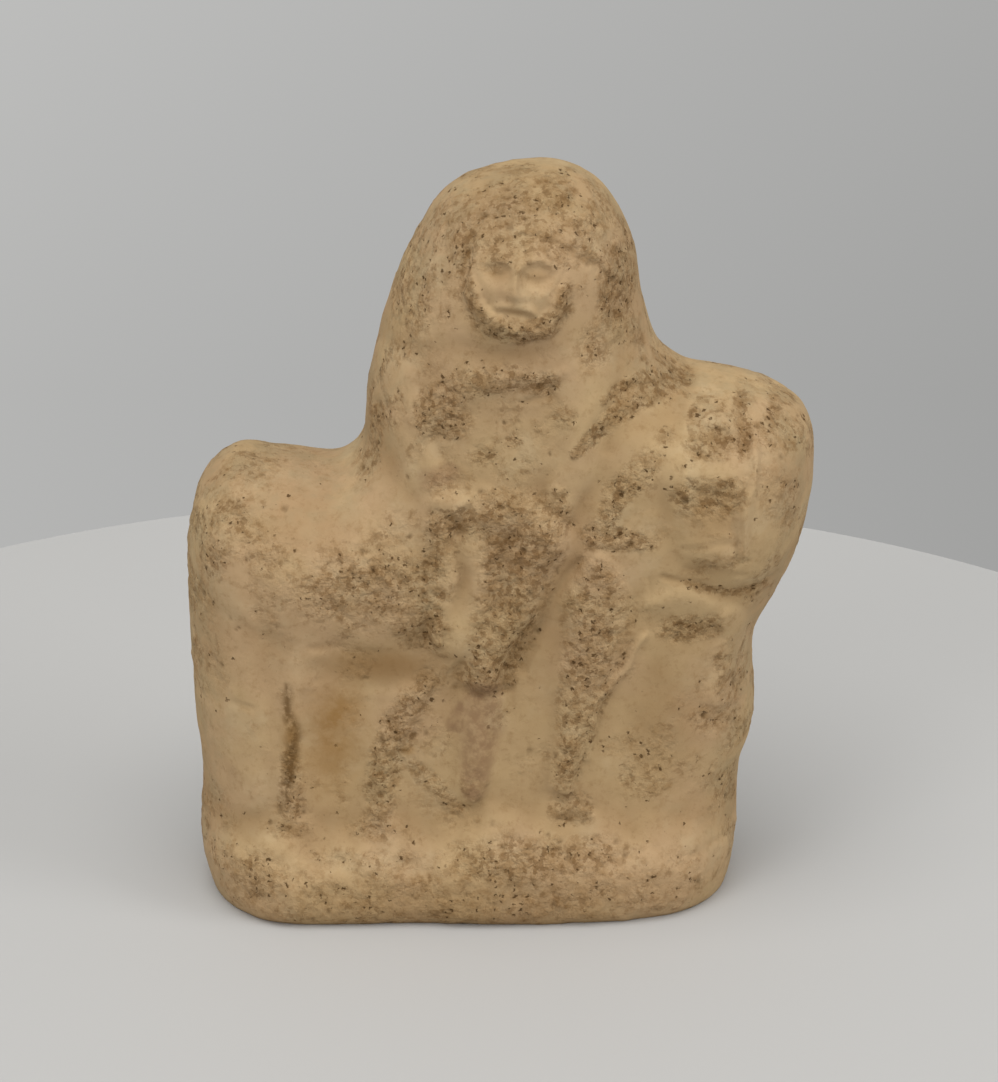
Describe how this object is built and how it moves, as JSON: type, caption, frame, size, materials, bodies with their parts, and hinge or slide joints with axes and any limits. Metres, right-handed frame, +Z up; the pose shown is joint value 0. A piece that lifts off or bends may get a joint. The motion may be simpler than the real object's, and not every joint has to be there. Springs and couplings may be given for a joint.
{
  "type": "horse and rider figurine",
  "caption": "Worn mould-made fired clay figurine: a hooded rider on a horse in relief on a thick upright slab with a flat foot and a plain back.",
  "frame": {"origin": "middle of the box round the part, on the flat foot that it stands on", "axes": "+Z up from the foot to the rider's hood; the carved front looks along -Y; +X towards the horse's head"},
  "size_m": [0.099, 0.0384, 0.1202],
  "materials": {
    "clay": "matt, unglazed buff fired clay, worn and pitted"
  },
  "bodies": {
    "root": {"horse_and_rider": "clay"}
  },
  "joints": []
}
